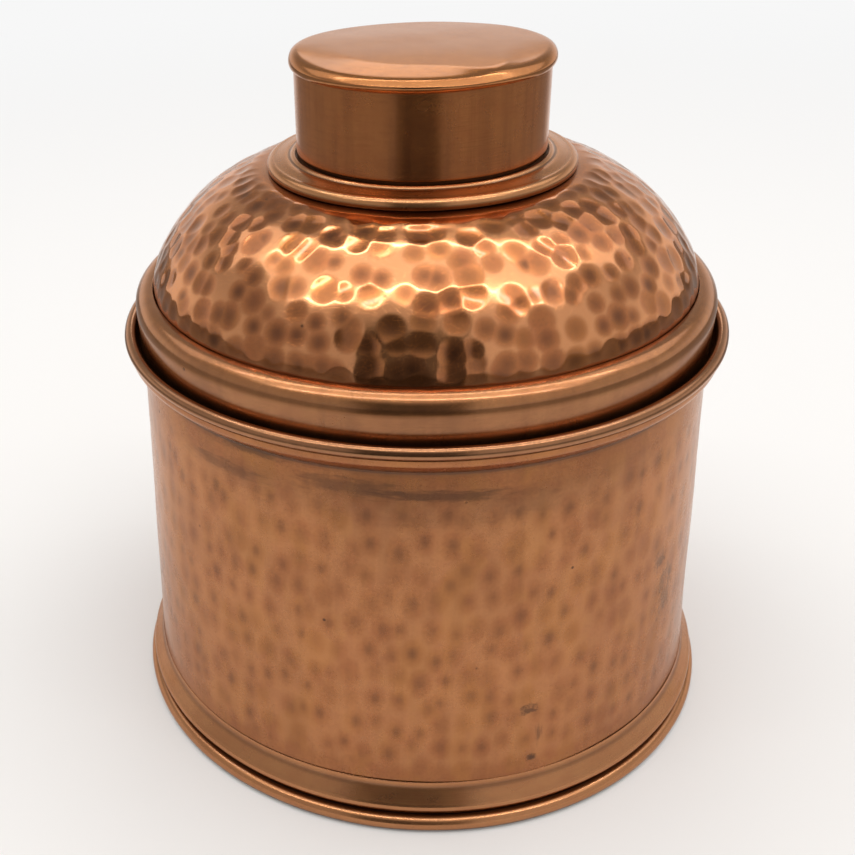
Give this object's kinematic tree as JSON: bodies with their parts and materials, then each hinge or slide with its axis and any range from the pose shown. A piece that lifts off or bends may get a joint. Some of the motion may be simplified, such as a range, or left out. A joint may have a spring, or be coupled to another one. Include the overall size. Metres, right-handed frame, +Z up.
{
  "type": "lidded copper jar",
  "caption": "Round hammered-copper jar with a flared gallery rim and moulded foot, a lift-off domed lid with a plain round-shouldered band, and a lift-off flat-topped cap on the lid's neck.",
  "frame": {"origin": "centre of the plane that the jar stands on", "axes": "+Z up along the axis of the jar; the jar is round, so X and Y are free"},
  "size_m": [0.1378, 0.1378, 0.1489],
  "materials": {
    "hammered_copper": "hammered copper, warm satin polish",
    "plain_copper": "spun and drawn copper, satin",
    "brushed_copper": "copper with a fine turned brushing",
    "inner_copper": "unpolished copper, dull and darker"
  },
  "bodies": {
    "jar": {"body_wall": "hammered_copper", "rim_wire": "plain_copper", "foot_ring": "plain_copper", "foot_wire": "plain_copper", "floor_disc": "inner_copper"},
    "lid": {"lid_dome": "hammered_copper", "lid_band": "plain_copper", "lid_skirt": "inner_copper", "neck_collar": "plain_copper", "neck_tube": "inner_copper"},
    "cap": {"cap_sleeve": "brushed_copper", "cap_top": "brushed_copper"}
  },
  "joints": [
    {"name": "lid_lift", "type": "slide", "parent": "jar", "child": "lid", "axis": [0, 0, 1], "range_m": [0, 0.06]},
    {"name": "cap_lift", "type": "slide", "parent": "lid", "child": "cap", "axis": [0, 0, 1], "range_m": [0, 0.04]}
  ]
}
